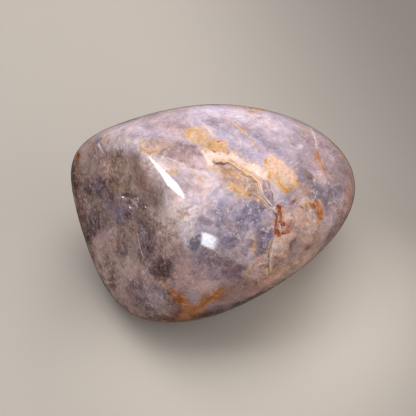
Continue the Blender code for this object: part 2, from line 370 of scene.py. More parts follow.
marks = {
    "sawn": {"areas": [([(72, 160), (80, 149), (97, 143), (112, 146), (128, 150), (142, 157), (153, 167),
                         (162, 179), (168, 193), (172, 207), (176, 222), (178, 240), (178, 258), (176, 277),
                         (171, 296), (163, 320), (130, 316), (96, 282), (80, 240), (72, 200)], 1.8, 1)]},
    "streaky": {"spots": [((150, 135), (20, 7), -8, 4, 1), ((215, 130), (16, 9), 10, 4, 1),
                          ((275, 150), (14, 10), 40, 4, 1), ((185, 165), (12, 10), 10, 3, 1),
                          ((200, 190), (9, 6), 20, 3, 0.9), ((325, 155), (8, 12), 60, 4, 0.8)]},
    "crackled": {"spots": [((240, 222), (14, 10), 10, 3, 1), ((208, 232), (10, 8), 0, 3, 1),
                           ((262, 245), (6, 9), 0, 3, 1), ((215, 198), (10, 6), 30, 3, 0.6),
                           ((315, 205), (10, 8), 0, 4, 0.6)]},
    "grainy": {"spots": [((300, 225), (14, 12), -30, 4, 1), ((330, 215), (10, 12), 0, 4, 1),
                         ((280, 270), (10, 9), 0, 4, 1), ((215, 275), (16, 7), -15, 4, 0.7)]},
    "slate": {
        "areas": [
            ([(252, 134), (258, 135), (266, 137), (273, 142), (279, 149), (286, 158), (293, 164),
              (300, 170),
              (306, 177), (310, 186), (306, 188), (300, 184), (295, 176), (289, 169), (282, 162),
              (275, 156),
              (267, 152), (260, 146), (255, 140)], 1.4, 0.7),
            ([(188, 238), (193, 236), (197, 239), (198, 246), (196, 252), (191, 253),
              (188, 247)], 0.5, 0.8),
            ([(195, 235), (201, 231), (203, 235), (202, 240), (199, 242)], 0.4, 0.8),
            ([(200, 219), (210, 217), (215, 220), (212, 224), (204, 224)], 0.6, 0.5),
            ([(247, 203), (253, 201), (258, 207), (257, 214), (250, 216), (245, 212)], 0.5, 0.9),
            ([(256, 214), (260, 215), (262, 221), (259, 225), (255, 221)], 0.3, 1),
            ([(263, 232), (270, 228), (273, 236), (271, 245), (266, 250), (260, 246),
              (259, 238)], 0.6, 0.95),
            ([(216, 218), (224, 216), (230, 220), (232, 227), (226, 231), (218, 228)], 0.7, 0.7),
            ([(220, 236), (228, 233), (236, 237), (234, 244), (226, 246), (219, 242)], 0.8, 0.7),
            ([(240, 244), (247, 242), (249, 249), (244, 253), (239, 250)], 0.5, 0.8),
            ([(253, 250), (260, 248), (264, 253), (260, 258), (254, 257)], 0.5, 0.85),
            ([(137, 224), (143, 226), (150, 232), (153, 242), (151, 250), (144, 252), (139, 246),
              (137, 236)], 1.3, 0.5),
            ([(310, 168), (304, 164), (308, 172), (315, 176), (316, 172)], 0.6, 0.8),
        ],
        "bands": [([(178, 211), (184, 209.5), (190, 207), (197, 203)], 0.55, 0.5, 0.9),
                  ([(212, 208), (219, 205), (226, 208)], 0.6, 0.6, 0.7)],
        "spots": [
            ((215, 122), (3.4, 1.5), 10, 1.4, 0.5), ((218, 207), (1.8, 1.2), 0, 0.8, 0.5),
            ((233, 211), (1.3, 1.6), 0, 0.5, 0.8), ((245, 228), (1.6, 1.2), 0, 0.5, 0.8),
            ((239, 217), (1, 1.6), 20, 0.5, 0.7), ((333, 200), (0.9, 2), 0, 0.6, 0.9),
            ((324, 206), (1.4, 1.8), 0, 0.8, 0.8), ((318, 190), (2, 1.4), 40, 1, 0.6),
            ((97, 187), (1.8, 2.6), -20, 1.4, 0.7), ((118, 217), (1.8, 1.4), 0, 0.9, 0.9),
            ((125, 208), (2, 1), 10, 0.8, 0.8), ((147, 258), (1.4, 1.4), 0, 0.8, 0.7),
            ((205, 256), (3.5, 1), 0, 0.8, 0.55), ((107, 207), (2, 1.3), 0, 1, 0.6),
        ],
    },
    "smokeAndEdgeShade": {
        "areas": [
            ([(152, 262), (158, 257), (166, 257), (173, 262), (172, 272), (168, 279), (160, 281),
              (153, 276), (151, 268)], 1.2, 1),
            ([(222, 265), (232, 260), (240, 261), (247, 265), (246, 276), (240, 283), (234, 280),
              (226, 276)], 1.6, 0.78),
            ([(86, 217), (92, 216), (98, 219), (98, 226), (94, 236), (88, 246), (84, 238),
              (83, 226)], 0.5, 0.85),
            ([(176, 146), (184, 143), (192, 145), (199, 152), (202, 158), (194, 157), (184, 154),
              (175, 151)], 1.0, 0.62),
            ([(242, 180), (248, 178), (254, 183), (257, 190), (250, 192), (244, 189)], 0.7, 0.62),
            ([(261, 181), (266, 183), (270, 190), (272, 200), (267, 199), (262, 190)], 0.6, 0.6),
            ([(197, 217), (205, 217), (213, 219), (210, 222), (200, 222)], 0.4, 0.5),
        ],
        "bands": [
            ([(158, 154), (166, 151), (175, 150), (184, 152)], 1.1, 0.9, 0.65),
            ([(150, 146), (160, 144), (170, 145), (180, 146)], 0.5, 0.5, 0.6),
            ([(164, 158), (172, 157), (180, 158), (186, 161)], 0.6, 0.6, 0.7),
            ([(190, 165), (197, 167), (205, 168)], 0.5, 0.5, 0.7),
            ([(176, 180), (184, 181), (192, 181)], 0.4, 0.5, 0.5),
            ([(213, 195), (220, 190), (226, 187)], 0.6, 0.7, 0.6),
            ([(238, 200), (246, 199), (254, 200)], 0.6, 0.6, 0.6),
            # the next three bands follow the bottom and left outline: painted edge shade
            ([(188, 322), (210, 316), (235, 306), (262, 294), (285, 280)], 0.9, 1.2, 0.8),
            ([(72, 162), (71, 178), (73, 195), (75, 210), (80, 230)], 1.6, 1.2, 0.9),
            ([(84, 248), (95, 272), (110, 294), (126, 309), (140, 317)], 1.0, 1.2, 0.55),
            ([(258, 209), (265, 208), (272, 211)], 0.4, 0.4, 0.8),
            ([(136, 178), (144, 186), (150, 196)], 1, 1.2, 0.5),
        ],
        "spots": [
            ((292, 245), (2.2, 0.9), -55, 0.5, 0.9), ((307, 247), (1.3, 1.1), 0, 0.6, 0.7),
            ((266, 239), (2.4, 3.6), 10, 1.0, 0.85), ((97, 187), (2.4, 2.2), 0, 1.2, 0.55),
            ((128, 197), (2.2, 1), 10, 0.5, 0.9), ((100, 265), (1.2, 1.8), -30, 0.9, 0.6),
            ((112, 283), (1.4, 2.4), -25, 1, 0.6), ((300, 229), (2, 1.5), 0, 0.8, 0.6),
            ((288, 226), (1.6, 2), 0, 0.9, 0.6), ((302, 178), (2.2, 1), 40, 0.8, 0.8),
            ((229, 180), (2, 0.8), 20, 0.5, 0.7), ((219, 163.5), (1.8, 0.6), 5, 0.3, 0.9),
            ((142, 203), (2, 1.2), 20, 0.8, 0.6), ((320, 199), (2, 1), 40, 0.8, 0.6),
            ((210, 262), (2.5, 1.2), 0, 1, 0.4), ((300, 255), (3, 1), -30, 0.8, 0.5),
        ],
    },
    "milkAndGlints": {
        "areas": [
            ([(222, 110), (245, 109), (268, 115), (280, 122), (272, 128), (250, 124), (232, 121),
              (222, 116)], 1.8, 0.65),
            ([(186, 172), (198, 168), (210, 170), (222, 178), (214, 186), (200, 188),
              (190, 184)], 1.5, 0.75),
            ([(104, 134), (115, 129), (128, 124), (140, 124), (150, 130), (146, 136), (132, 137),
              (116, 139), (106, 140)], 1.2, 0.6),
            ([(183, 196), (192, 190), (203, 196), (196, 202), (186, 204)], 1.1, 0.7),
        ],
        "bands": [
            ([(195, 118), (202, 122), (208, 128), (214, 135)], 0.5, 0.8, 0.8),
            ([(309, 127), (313, 132), (316, 139), (317, 147)], 0.6, 0.8, 0.8),
            ([(222, 204), (228, 209), (233, 214), (240, 219), (247, 221)], 0.3, 0.4, 0.9),
            ([(233, 203), (235, 210), (231, 218), (233, 226), (236, 234)], 0.3, 0.4, 0.85),
            ([(247, 224), (249, 231), (247, 239), (245, 246)], 0.35, 0.45, 0.9),
            ([(255, 212), (262, 214), (268, 213)], 0.3, 0.4, 0.8),
            ([(213, 214), (222, 216), (228, 213)], 0.3, 0.4, 0.8),
            ([(240, 206), (244, 212), (252, 218)], 0.3, 0.4, 0.8),
            ([(214, 246), (222, 250), (232, 254), (240, 254)], 0.35, 0.5, 0.75),
            ([(232, 252), (238, 258), (243, 264)], 0.3, 0.4, 0.7),
            ([(207, 262), (215, 268), (224, 270)], 0.3, 0.6, 0.5),
            ([(99, 232), (94, 240), (88, 249)], 0.3, 0.4, 0.9),
            ([(118, 236), (121, 246), (125, 254), (129, 262)], 0.35, 0.6, 0.7),
            ([(150, 212), (158, 219), (168, 228), (176, 236)], 0.5, 0.7, 0.7),
            ([(168, 226), (172, 240), (176, 254)], 0.4, 0.6, 0.6),
            ([(182, 196), (190, 199), (198, 197), (206, 199)], 0.4, 0.5, 0.6),
        ],
        "spots": [
            ((276, 130), (1.2, 0.8), 0, 0.8, 0.8), ((298, 146), (1.3, 0.7), 0, 0.6, 0.9),
            ((279, 122), (0.35, 0.35), 0, 0.3, 1), ((246, 143), (1.6, 1.2), 0, 1.2, 0.6),
            ((205, 192), (4, 1.6), 0, 1.4, 0.5), ((142, 275), (1, 0.8), 0, 0.4, 0.9),
            ((153, 293), (1.2, 1), 0, 0.6, 0.8), ((277, 247), (1.4, 2), 0, 1, 0.6),
            ((325, 222), (1.4, 1), 0, 0.8, 0.7), ((203, 211), (0.8, 0.5), 0, 0.4, 0.9),
            ((250, 229), (1.2, 2), 0, 0.8, 0.5), ((160, 297), (1.2, 2), 0, 0.8, 0.5),
            # the spot at (136, 197) lies on a pit and is a painted glint
            ((135, 205), (0.9, 1.2), -30, 0.4, 0.9), ((136, 197), (0.8, 0.5), 0, 0.3, 0.9),
        ],
    },
    "honey": {
        "areas": [
            ([(183, 126), (194, 124), (206, 128), (216, 137), (226, 143), (230, 150), (240, 154),
              (252, 160),
              (264, 166), (266, 152), (278, 155), (290, 163), (299, 174), (299, 187), (292, 193),
              (282, 192),
              (272, 182), (263, 182), (258, 190), (268, 204), (275, 212), (268, 210), (261, 204),
              (250, 198),
              (236, 198), (225, 188), (215, 176), (205, 170), (202, 158), (198, 149), (188, 142),
              (182, 135)],
             1.3, 0.8),
            ([(300, 198), (308, 197), (318, 200), (324, 208), (320, 218), (312, 218),
              (306, 208)], 1.3, 0.5),
        ],
        "bands": [
            ([(143, 148), (152, 149), (160, 151)], 0.8, 0.8, 0.7),
            ([(276, 238), (273, 250), (270, 262), (270, 272)], 0.8, 1, 0.5),
            ([(190, 214), (200, 214), (208, 209)], 0.5, 0.7, 0.5),
            ([(165, 172), (175, 173)], 0.6, 0.7, 0.6),
            ([(286, 192), (294, 198), (302, 204), (308, 212)], 0.9, 1.2, 0.5),
        ],
        "spots": [((184, 216), (1.6, 1.2), 0, 0.7, 0.9), ((226, 222), (1.8, 0.9), 0, 0.8, 0.6),
                  ((250, 232), (1.4, 2), 0, 0.9, 0.6), ((215, 193), (1.4, 1), 0, 0.8, 0.5),
                  ((195, 176), (1.6, 1), 0, 0.7, 0.7), ((134, 233), (1.2, 2.2), 0, 0.7, 0.7),
                  ((327, 226), (1.8, 1.4), 0, 0.8, 0.6), ((105, 165), (0.9, 4), 0, 0.8, 0.5),
                  ((280, 222), (3, 5), 0, 1.6, 0.5)],
    },
    "cream": {
        "areas": [
            ([(204, 152), (213, 149), (221, 151), (229, 152), (238, 156), (249, 161), (258, 166),
              (266, 173),
              (268, 180), (261, 180), (255, 177), (249, 173), (242, 169), (235, 164), (227, 160),
              (215, 160),
              (209, 166), (204, 160)], 0.6, 1),
            ([(267, 157), (270, 153), (276, 156), (283, 161), (289, 167), (294, 174), (295, 181),
              (290, 187), (285, 187), (280, 181), (276, 175), (271, 170), (268, 164)], 1.0, 0.45),
        ],
        "bands": [([(208, 164), (212, 170), (216, 174)], 0.8, 0.6, 0.8),
                  ([(216, 169), (222, 171), (229, 172), (236, 176)], 0.4, 0.4, 0.8)],
    },
    "tan": {
        "areas": [
            ([(214, 165), (224, 166), (235, 170), (245, 177), (250, 180), (255, 186), (257, 193),
              (247, 194), (238, 196), (231, 192), (226, 184), (219, 175)], 1.1, 0.8),
            ([(275, 238), (279, 240), (279, 256), (274, 268), (269, 270), (270, 258),
              (272, 247)], 0.8, 0.6),
            ([(107, 178), (117, 178), (124, 184), (122, 192), (114, 192), (108, 186)], 1.2, 0.6),
        ],
        "bands": [([(105, 152), (105, 165), (105, 180)], 0.5, 0.7, 0.6),
                  ([(176, 206), (178, 214), (176, 222)], 0.8, 1.2, 0.6)],
        "spots": [((134, 233), (0.9, 2), 0, 0.6, 0.9), ((113, 241), (3, 1.3), 0, 1, 0.7),
                  ((206, 204), (1.6, 0.5), -30, 0.4, 0.6), ((322, 213), (1.4, 1), 0, 0.5, 0.8),
                  ((187, 174), (2.2, 1.2), 0, 0.8, 0.5), ((316, 203), (2, 1.2), 0, 0.8, 0.6)],
    },
    "gold": {
        "areas": [
            ([(185, 129), (190, 126), (197, 127), (204, 131), (210, 136), (214, 141), (218, 146),
              (214, 150), (208, 148), (202, 145), (195, 142), (188, 138)], 0.9, 0.5),
            ([(208, 142), (214, 141), (220, 144), (225, 142), (226, 147), (221, 150), (215, 151),
              (209, 148)], 0.6, 0.8),
            ([(227, 180), (232, 183), (238, 183), (245, 188), (246, 194), (238, 196), (231, 192),
              (227, 187)], 0.6, 0.7),
        ],
        "bands": [
            ([(187, 136), (194, 140), (201, 143), (208, 147)], 0.6, 0.5, 0.95),
            ([(186, 137), (186, 131), (190, 127), (196, 127)], 0.4, 0.5, 0.85),
            ([(267, 159), (268, 164), (270, 168), (273, 172)], 0.7, 0.4, 1),
            ([(276, 174), (277, 179), (280, 184), (284, 189), (288, 190), (293, 187), (297, 181),
              (297, 175), (293, 170)], 0.6, 0.5, 1),
            ([(226, 162), (233, 166), (240, 171), (249, 176)], 0.4, 0.3, 0.8),
            ([(256, 181), (258, 187), (259, 194), (263, 199), (268, 204)], 0.5, 0.4, 0.9),
            ([(240, 195), (247, 193), (253, 193), (258, 196), (263, 200)], 0.4, 0.3, 0.9),
            ([(214, 167), (219, 170), (226, 171)], 0.35, 0.4, 0.8),
            ([(228, 153), (236, 158), (244, 163)], 0.3, 0.5, 0.5),
        ],
        "spots": [
            ((270, 175), (0.8, 1.1), 0, 0.4, 1), ((188, 131), (1, 1), 0, 0.4, 1),
            ((307, 203), (1.4, 0.8), -20, 0.5, 0.7), ((327, 228), (1.6, 0.8), 0, 0.5, 0.6),
            ((150, 149), (2.4, 0.7), 5, 0.4, 1),
            ((145, 142), (1.4, 1), 0, 0.6, 0.7), ((174, 172.5), (1.3, 0.8), 0, 0.5, 0.9),
            ((196, 176), (1.2, 0.8), 0, 0.5, 0.6), ((118, 188), (1.8, 1), 0, 0.6, 0.6),
            ((253, 246), (0.7, 1.2), 0, 0.4, 0.9), ((263, 221), (0.7, 0.7), 0, 0.4, 0.6),
            ((242, 129), (1.2, 0.6), 30, 0.4, 0.8), ((288, 137), (0.9, 0.8), 0, 0.5, 0.6),
            ((268, 270), (0.7, 1.2), 0, 0.4, 0.7), ((260, 197), (1.2, 0.8), 30, 0.4, 0.8),
            ((247, 272), (0.7, 1.6), 20, 0.5, 0.6),
        ],
    },
    "amberAndEdgeShade": {
        "areas": [
            ([(274, 206), (279, 204), (283, 211), (284, 224), (286, 234), (278, 236), (274, 226),
              (273, 214)], 0.6, 0.7),
            ([(168, 286), (176, 288), (184, 294), (192, 300), (204, 297), (214, 291), (221, 287),
              (216, 298), (206, 308), (196, 314), (186, 319), (176, 321), (182, 312), (176, 304),
              (169, 295)], 1.6, 0.74),
        ],
        "bands": [
            ([(164, 282), (169, 290), (175, 298), (184, 306), (193, 310)], 1.6, 2.0, 0.5),
            ([(186, 305), (194, 309), (202, 305), (210, 298), (217, 291), (221, 287)], 0.75, 0.6, 1),
            ([(192, 311), (184, 316), (176, 320)], 0.9, 0.9, 0.9),
            ([(316, 149), (318, 155), (321, 162), (323, 168)], 0.7, 0.5, 0.95),
            ([(323, 168), (326, 175), (329, 182)], 0.4, 0.4, 0.7),
            # the next three bands follow the outline at the tip, the left side and the bottom: painted edge
            # shade, warmer and darker where the stone turns away, over amber stain at the bottom
            ([(322, 130), (336, 141), (347, 154), (354, 170), (357, 184)], 1.2, 1.2, 0.75),
            ([(79, 152), (77, 165), (77, 180), (79, 198), (82, 214), (86, 232), (94, 252)], 0.6, 1, 0.5),
            ([(150, 320), (165, 322), (182, 321), (200, 318)], 1.6, 1.4, 0.8),
            ([(267, 160), (267, 166), (270, 172), (270, 177)], 0.35, 0.35, 0.9),
            ([(278, 180), (281, 187), (286, 190.5), (291, 188), (296, 183)], 0.5, 0.4, 0.95),
            ([(207, 147), (213, 151), (218, 149)], 0.4, 0.4, 0.9),
            ([(310, 203), (316, 200), (318, 206)], 0.3, 0.4, 0.6),
        ],
        "spots": [((240.5, 128.5), (1, 0.45), 20, 0.3, 0.9), ((213, 141), (1, 0.7), 0, 0.4, 0.8),
                  ((221, 142), (1.2, 0.5), 10, 0.3, 0.9), ((185, 131), (0.6, 1), 0, 0.4, 0.8),
                  ((232, 150), (1, 0.6), 0, 0.4, 0.7), ((229, 172), (1.4, 0.5), 15, 0.4, 0.7),
                  ((312, 204), (2.3, 1.2), -20, 0.4, 1), ((319, 211), (1.3, 1.9), 0, 0.4, 1),
                  ((316, 219), (0.8, 1.6), 0, 0.4, 0.85), ((304, 192), (0.8, 1.1), 0, 0.4, 0.7),
                  ((339, 213), (0.6, 1.6), -20, 0.5, 0.6)],
    },
    "rust": {
        "areas": [([(274, 208), (278, 206), (281, 213), (281, 224), (284, 234), (279, 236),
                    (275, 226)], 0.6, 0.85)],
        "bands": [([(277, 206), (278, 212), (277, 219), (276.5, 226), (276, 233)], 0.6, 0.4, 1),
                  ([(281, 220), (282, 227), (284, 233)], 0.5, 0.35, 0.95),
                  ([(299, 202), (303, 207), (306, 212)], 0.5, 0.3, 1),
                  ([(308, 215), (309, 224)], 0.4, 0.3, 0.8),
                  ([(292, 203), (296, 205), (300, 206)], 0.3, 0.3, 0.6)],
        "spots": [
            ((277, 208), (1.3, 0.8), 0, 0.3, 1),
            ((284, 232), (1.2, 1), 0, 0.3, 0.95), ((312, 205), (0.7, 0.4), 0, 0.3, 0.7),
            ((293, 203), (0.6, 1.2), 30, 0.3, 0.8), ((208, 154), (0.5, 0.6), 0, 0.5, 0.7),
            ((214, 152), (1.2, 0.35), -15, 0.25, 0.6), ((227, 153), (0.8, 0.4), 0, 0.3, 0.8),
            ((218, 141.5), (1.2, 0.4), 0, 0.3, 0.8), ((78, 156), (0.9, 2), 12, 0.5, 1),
            ((91, 175), (0.8, 0.6), 0, 0.4, 0.8), ((287, 225), (0.6, 1.6), 20, 0.4, 0.7),
        ],
    },
}

# cracks that are carved and also drawn
besideLedge = [(266.5, 181.4), (269.5, 187.4), (272, 192.3), (272.6, 199.5), (272, 203)]
rustyCleft = [(275.6, 208), (278, 212), (277.4, 217.7), (276.2, 223.8), (275.6, 231.7)]

# fine lines: points, half width in mm, strength
fineLines = {
    "goldLines": [
        ([(214, 161), (222, 160), (229, 161.5), (236, 165.5), (242, 169.5), (248, 173.5), (253, 176.5),
          (257, 181), (259, 187), (260.5, 193)], 0.16, 1),
        ([(226, 179), (233, 184), (240, 190), (247, 192.5)], 0.14, 0.5),
        ([(247, 192.5), (254, 193), (260, 197), (265, 201)], 0.14, 0.8),
        ([(228, 169), (236, 174), (243, 180), (248, 187)], 0.14, 0.6),
        ([(132, 122), (145, 118), (160, 114.5), (173, 113), (185, 114), (196, 117)], 0.22, 0.5),
        ([(214, 107), (220, 112), (226, 117), (232, 122), (238, 127), (243, 131), (249, 137), (255, 145),
          (262, 152)], 0.22, 0.75),
        ([(181, 302), (186, 304.5), (191, 303.5)], 0.25, 0.9),
        ([(99, 139), (103, 134), (110, 131)], 0.15, 0.5),
        ([(212, 157), (218, 157.5), (224, 157)], 0.15, 0.7),
    ],
    "rustLines": [
        ([(264, 178), (268, 182), (271, 188)], 0.2, 0.9), ([(316, 149), (321, 163), (328, 182)], 0.2, 0.8),
        ([(249, 137), (256, 146), (262, 153)], 0.18, 0.7),
        ([(274, 204), (279, 209), (281, 216)], 0.15, 0.9),
        ([(275, 236), (276, 229), (275, 221), (276, 213)], 0.15, 0.9),
        ([(283, 222), (285, 228), (286, 234)], 0.15, 0.9), ([(289, 211), (292, 214), (293, 218)], 0.3, 0.9),
        ([(233, 167), (241, 173), (246, 178)], 0.18, 0.8),
        ([(278, 177), (279, 182), (283, 187), (288, 189)], 0.15, 0.8),
        ([(218, 166), (228, 168.5), (236, 173), (243, 179)], 0.16, 0.8),
        ([(221, 169), (229, 173), (236, 179), (240, 186)], 0.14, 0.7),
        ([(187, 306.5), (194, 309), (202, 305), (210, 298), (217, 291), (221, 287)], 0.25, 0.7),
        ([(120, 313), (140, 318), (160, 320)], 0.2, 0.6),
    ],
    "darkLines": [
        # the first two lines run along the ledge's rim: painted shade in the wall under its lip
        ([(213, 164.5), (217, 162.5), (224, 163), (227, 162), (234, 166)], 0.16, 0.75),
        ([(231, 164), (240, 170.5), (245, 174.7), (249.5, 176), (253, 179), (256, 182), (257.4, 187.4),
          (258.6, 193)], 0.1, 0.7),
        (besideLedge, 0.13, 0.8),
        (rustyCleft, 0.12, 0.6),
        ([(281, 219), (281.5, 225.6), (284, 232.8)], 0.1, 0.6),
        ([(273.5, 236), (270.5, 245), (268, 256), (267.5, 266), (268.5, 275)], 0.13, 0.9),
        ([(269, 274), (265, 278), (260, 283)], 0.1, 0.6),
        ([(122, 195), (127, 193.5), (132, 196)], 0.2, 0.9),
        ([(162, 171), (167, 178), (170, 186)], 0.12, 0.5),
    ],
    "whiteLines": [
        ([(196, 119), (201, 122), (206, 127), (210, 131), (214, 135)], 0.16, 0.8),
        ([(99, 141), (102, 137), (107, 133), (115, 130), (126, 125), (139, 120)], 0.15, 0.6),
        ([(259, 180), (261, 187), (263, 194), (267.5, 200), (272, 206), (275, 211)], 0.13, 0.9),
        ([(276, 236), (273.5, 242), (272, 250), (270.5, 257), (270, 266), (271, 272)], 0.16, 0.8),
        ([(135, 228), (137, 235), (139, 244), (141, 251), (143, 258)], 0.15, 1),
        ([(160, 214), (170, 222), (178, 230)], 0.08, 0.8),
        ([(155, 211), (168, 222), (176, 231)], 0.08, 0.7),
        ([(158, 217), (167, 227), (173, 236)], 0.08, 0.6),
        ([(170, 232), (175, 245), (181, 258)], 0.08, 0.6),
        ([(159, 154), (166, 157), (171, 159), (176, 161), (182, 164), (186, 166)], 0.12, 0.8),
        ([(150, 152), (158, 155), (166, 160)], 0.1, 0.6), ([(186, 166), (193, 170), (200, 171)], 0.1, 0.6),
        ([(278.6, 221), (279.3, 225), (280.4, 230.5)], 0.13, 0.8), ([(272, 213), (275, 217)], 0.2, 1),
        # these two lines lie on the pits of the sawn face and are painted glints
        ([(128, 203), (131, 207), (133, 211)], 0.15, 1), ([(119, 193), (122, 199)], 0.12, 0.7),
        ([(310, 127), (315, 139.5), (316, 147.6)], 0.15, 0.8),
        ([(210, 152), (213, 155), (212, 159)], 0.15, 0.9), ([(222, 149), (228, 151)], 0.12, 0.8),
    ],
}


def plainMaterial(name, colour, roughness):
    material = bpy.data.materials.new(name)
    material.use_nodes = True
    shader = material.node_tree.nodes["Principled BSDF"]
    shader.inputs["Base Color"].default_value = (*colour, 1)
    shader.inputs["Roughness"].default_value = roughness
    return material


# open relief: the ledge's broken-out floor, the cracks and the pits
relief = {
    "flakeRim": [(213, 165), (217, 162.5), (224, 163), (227, 162), (234, 166), (240, 170.5), (245, 174.7),
                 (249.5, 176), (253, 179), (256, 182), (257.4, 187.4), (258.6, 193)],
    "flakeFoot": [(252, 192.5), (247, 193), (240.5, 195.5), (233.8, 191), (229, 183.8), (226.5, 179),
                  (219, 173.5), (215, 168)],
    # mm: how deep the flake's floor lies, how wide the wall below its rim is, and how it rises to the foot
    "flakeDepth": 0.36, "flakeWall": 0.3, "flakeRise": 1.3, "flakeRough": 0.8, "flakeReach": 25,
    "crackReach": 2, "crackEnds": 2,  # mm that a crack is looked for over, and that its ends shallow over
    # points, half width, depth
    "cracks": [
        (besideLedge, 0.35, 0.35),
        (rustyCleft, 0.5, 0.42),
        ([(279, 212), (281, 219), (281.5, 225.6), (284, 232.8)], 0.4, 0.3),
        ([(275, 234), (271, 245), (268.5, 256), (268, 266), (269, 275)], 0.3, 0.3),
        ([(258.6, 193), (263, 199), (269, 205), (275, 211)], 0.25, 0.25),
    ],
    "roundCracks": [([(30, 52), (40, 44), (47, 33), (49, 20), (55, 10)], 0.35, 0.4)],
    # place, half sizes, turn, depth
    "pits": [
        ((125, 196), (1.5, 0.9), 15, 0.7), ((130, 206), (1.2, 0.5), 60, 0.4),
        ((136, 197), (0.9, 0.6), 0, 0.4), ((146, 206), (0.7, 0.5), 30, 0.3),
        ((253, 283), (1.1, 0.8), 0, 0.5), ((99, 141), (1.3, 0.6), -50, 0.4),
        ((213, 152.5), (0.8, 0.4), -10, 0.2), ((276, 215), (1, 0.7), 0, 0.4),
    ],
    "roundPits": [((62, 12), (2, 1.2), 70, 0.8), ((66, 9), (1.1, 0.8), 10, 0.6),
                  ((150, 35), (2.2, 0.9), 15, 0.6)],
}


def refineMesh(skin, tracer):
    lines = [tracer.curve(relief["flakeRim"])[0]]
    lines += [tracer.curve(points)[0] for points, halfWidth, depth in relief["cracks"]]
    lines += [tracer.curve(points, seen=False)[0] for points, halfWidth, depth in relief["roundCracks"]]
    for seen, pits in ((True, relief["pits"]), (False, relief["roundPits"])):
        lines += [np.array([tracer.place(spot, seen)]) / mm for spot, size, turn, depth in pits]
    for reach in stoneSkin["fineReach"]:
        makeActive(skin)
        bpy.ops.object.mode_set(mode="EDIT")
        bpy.ops.mesh.select_mode(type="FACE")
        bpy.ops.mesh.select_all(action="DESELECT")
        form = bmesh.from_edit_mesh(skin.data)
        centres = np.array([tuple(face.calc_center_median()) for face in form.faces]) / mm
        close = np.zeros(len(centres), bool)
        for line in lines:
            near = nearLine(centres, line, reach)
            gaps = np.linalg.norm(centres[near][:, None] - line[None], axis=2).min(1)
            close[near[gaps < reach]] = True
        form.faces.ensure_lookup_table()
        for index in np.flatnonzero(close):
            form.faces[index].select_set(True)
        bmesh.update_edit_mesh(skin.data)
        bpy.ops.mesh.subdivide(number_cuts=1, smoothness=1)
        bpy.ops.object.mode_set(mode="OBJECT")
    print("refined to", len(skin.data.polygons), "faces")


def carveRelief(skin, fields):
    depth = np.zeros(fields.count())
    rough = np.zeros(fields.count())
    rim, foot = fields.tracer.curve(relief["flakeRim"]), fields.tracer.curve(relief["flakeFoot"])
    inside = fields.insideOutline(np.concatenate((rim[1], foot[1])))
    rimGap, footGap = np.full((2, fields.count()), relief["flakeReach"] + 5.0)
    for gap, (line, spots) in ((rimGap, rim), (footGap, foot)):
        near, distance = fields.alongCurve(line, relief["flakeReach"])[:2]
        gap[near] = distance
    fall = (footGap / (rimGap + footGap)) ** relief["flakeRise"]
    fall *= np.clip(rimGap / relief["flakeWall"], 0, 1)
    depth[inside] = relief["flakeDepth"] * fall[inside]
    rough[inside] = relief["flakeRough"]
    for seen, cracks in ((True, relief["cracks"]), (False, relief["roundCracks"])):
        for points, halfWidth, deep in cracks:
            line = fields.tracer.curve(points, seen)[0]
            near, distance, side, along, length = fields.alongCurve(line, relief["crackReach"])
            taper = np.clip(np.minimum(along, length - along) / relief["crackEnds"], 0, 1)
            depth[near] = np.maximum(depth[near], deep * taper * np.clip(1 - distance / halfWidth, 0, 1))
            rough[near] = np.maximum(rough[near], taper * np.clip(1.5 - distance / halfWidth, 0, 1))
    for seen, pits in ((True, relief["pits"]), (False, relief["roundPits"])):
        for spot, size, turn, deep in pits:
            bowl = np.clip(fields.depthInSpot(spot, size, turn, seen) / min(size), 0, 1)
            depth = np.maximum(depth, deep * np.sqrt(bowl * (2 - bowl)))
            rough = np.maximum(rough, np.clip(bowl * 3, 0, 1))
    fields.keep("rough", rough)
    carved = (fields.places - fields.normals * depth[:, None]) * mm
    skin.data.vertices.foreach_set("co", carved.astype(np.float32).ravel())
    skin.data.update()
    print("relief carved")


# the sides that the photograph doesn't show carry the same kinds of marks: how many, smallest and
# largest half size in mm, edge and strength
hiddenMarks = {
    "seed": 11,
    "slate": (30, 1.2, 4.5, 0.9, 0.9), "smokeAndEdgeShade": (20, 1.2, 4, 1, 0.85), "milkAndGlints": (26, 1, 4, 1.2, 0.75),
    "honey": (26, 1.8, 3.6, 1.2, 0.75), "cream": (10, 0.8, 2.4, 0.7, 0.9), "tan": (16, 1, 3.5, 1, 0.8),
    "gold": (26, 0.5, 1.8, 0.5, 0.95), "amberAndEdgeShade": (16, 0.8, 2.2, 0.9, 0.8), "rust": (18, 0.3, 1.0, 0.35, 0.9),
    "streaky": (6, 9, 14, 4, 1), "crackled": (8, 7, 12, 3, 1), "grainy": (6, 7, 12, 4, 1),
}
# the iron-stained marks lie along veins: bearings from the stone's middle, and how far they stray
hiddenVeins = {
    "paths": [
        [(22, 58), (30, 52), (40, 44), (47, 33), (49, 20), (55, 10)],
        [(150, 42), (136, 30), (118, 24), (102, 8), (94, -12), (90, -34)],
        [(0, -22), (24, -30), (48, -26), (70, -38)],
    ],
    "kinds": ("honey", "cream", "gold", "amberAndEdgeShade", "rust"), "strays": 3.5,
}
hiddenWashes = ["topPink", "lilac", "pinkWhite", "duskyPink", "frontBlue", "mauve", "tanPink", "plumGrey",
                "paleLilac", "duskyPink", "lilac", "frontBlue"] * 3
# how many lines of each kind, and how they wander: steps of so many degrees, turned by up to so many
hiddenLines = {
    "whiteLines": 9, "rustLines": 9, "goldLines": 6, "darkLines": 5, "steps": 5, "step": 6.5, "wander": 28,
    "highest": 75, "behind": -0.12,
}


def hiddenBearing(draw, tracer):
    # a direction from the stone's middle that the photograph doesn't show
    while True:
        azimuth, elevation = draw.uniform(-180, 180), math.degrees(math.asin(draw.uniform(-1, 1)))
        if outwards(azimuth, elevation).dot(tracer.back) < hiddenLines["behind"]:
            return azimuth, elevation


